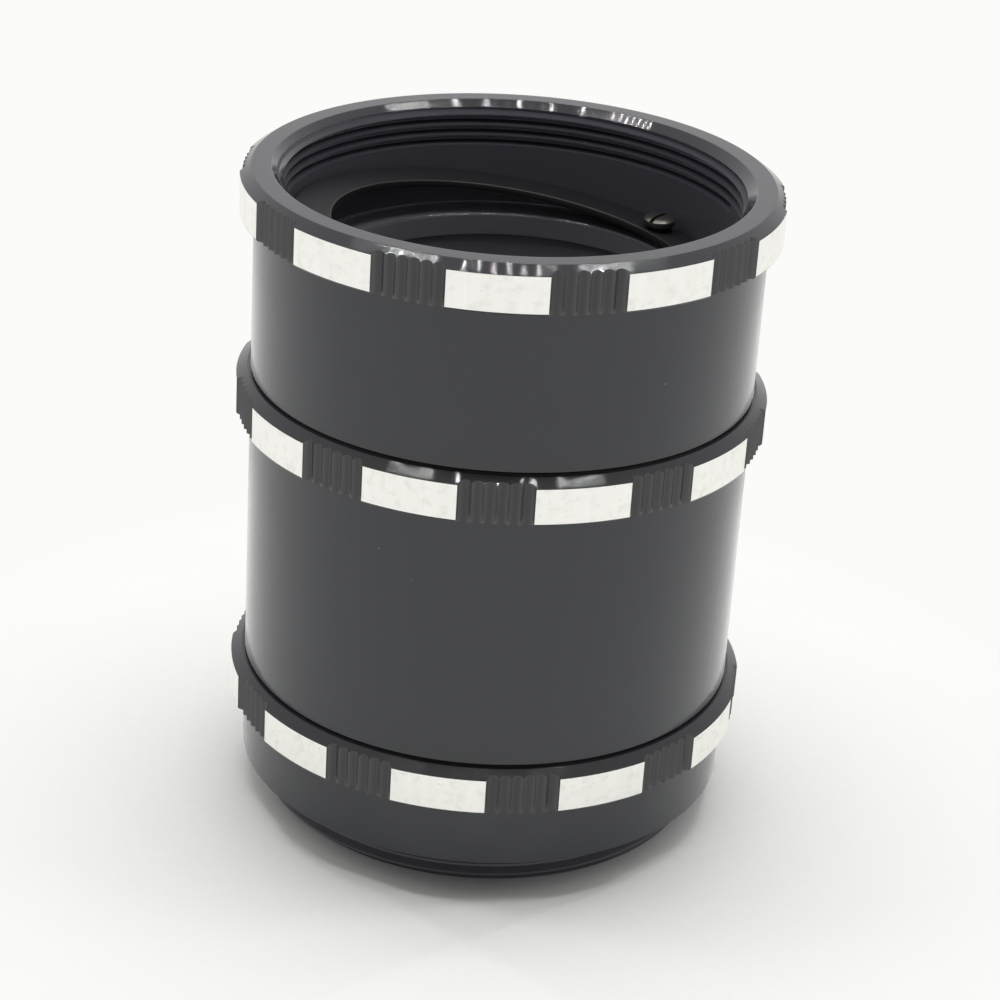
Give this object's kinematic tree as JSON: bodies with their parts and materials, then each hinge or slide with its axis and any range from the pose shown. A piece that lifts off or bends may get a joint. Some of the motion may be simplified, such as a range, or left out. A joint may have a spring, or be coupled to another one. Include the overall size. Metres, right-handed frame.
{
  "type": "macro extension tube set",
  "caption": "Stack of screw-mount macro extension tubes with zebra grip rings; each tube carries a push pin and a rocking relay ring that pass on the lens stop-down.",
  "frame": {"origin": "middle of the end face of the rear thread, which the set stands on", "axes": "+Z along the tube axis from the camera end to the lens end, -X towards the push pins; the picture is taken from -Y, 15 degrees round towards -X"},
  "size_m": [0.0486, 0.0486, 0.0608],
  "materials": {
    "black_anodised_aluminium": "satin black anodised, grip pads cut bright",
    "black_relay_metal": "dull black with bare worn edges",
    "bright_steel": "turned bright steel"
  },
  "bodies": {
    "short_tube": {"short_barrel": "black_anodised_aluminium", "short_pivot_screws": "bright_steel"},
    "short_relay": {"short_relay_ring": "black_relay_metal"},
    "short_pin": {"short_push_pin": "bright_steel"},
    "long_tube": {"long_barrel": "black_anodised_aluminium", "long_pivot_screws": "bright_steel"},
    "long_relay": {"long_relay_ring": "black_relay_metal"},
    "long_pin": {"long_push_pin": "bright_steel"},
    "medium_tube": {"medium_barrel": "black_anodised_aluminium", "medium_pivot_screws": "bright_steel"},
    "medium_relay": {"medium_relay_ring": "black_relay_metal"},
    "medium_pin": {"medium_push_pin": "bright_steel"}
  },
  "joints": [
    {"name": "long_tube_unscrew", "type": "hinge", "parent": "short_tube", "child": "long_tube", "pos_m": [0, 0, 0.0133], "axis": [0, 0, 1], "range_deg": [0, 990]},
    {"name": "medium_tube_unscrew", "type": "hinge", "parent": "long_tube", "child": "medium_tube", "pos_m": [0, 0, 0.0418], "axis": [0, 0, 1], "range_deg": [0, 990]},
    {"name": "short_pin_push", "type": "slide", "parent": "short_tube", "child": "short_pin", "axis": [0, 0, 1], "range_m": [-0.003, 0]},
    {"name": "short_relay_rock", "type": "hinge", "parent": "short_tube", "child": "short_relay", "pos_m": [0.0192, 0, 0.0034], "axis": [0, 1, 0], "range_deg": [-4.6, 0]},
    {"name": "long_pin_push", "type": "slide", "parent": "long_tube", "child": "long_pin", "axis": [0, 0, 1], "range_m": [-0.003, 0]},
    {"name": "long_relay_rock", "type": "hinge", "parent": "long_tube", "child": "long_relay", "pos_m": [0.0192, 0, 0.0319], "axis": [0, 1, 0], "range_deg": [-4.6, 0]},
    {"name": "medium_pin_push", "type": "slide", "parent": "medium_tube", "child": "medium_pin", "axis": [0, 0, 1], "range_m": [-0.003, 0]},
    {"name": "medium_relay_rock", "type": "hinge", "parent": "medium_tube", "child": "medium_relay", "pos_m": [0.0192, 0, 0.0509], "axis": [0, 1, 0], "range_deg": [-4.6, 0]}
  ],
  "couplings": [
    {"joint": "long_pin_push", "follows": "short_pin_push", "ratio": 1},
    {"joint": "medium_pin_push", "follows": "short_pin_push", "ratio": 1},
    {"joint": "short_relay_rock", "follows": "short_pin_push", "rad_per_m": 26.259},
    {"joint": "long_relay_rock", "follows": "short_pin_push", "rad_per_m": 26.259},
    {"joint": "medium_relay_rock", "follows": "short_pin_push", "rad_per_m": 26.259}
  ]
}
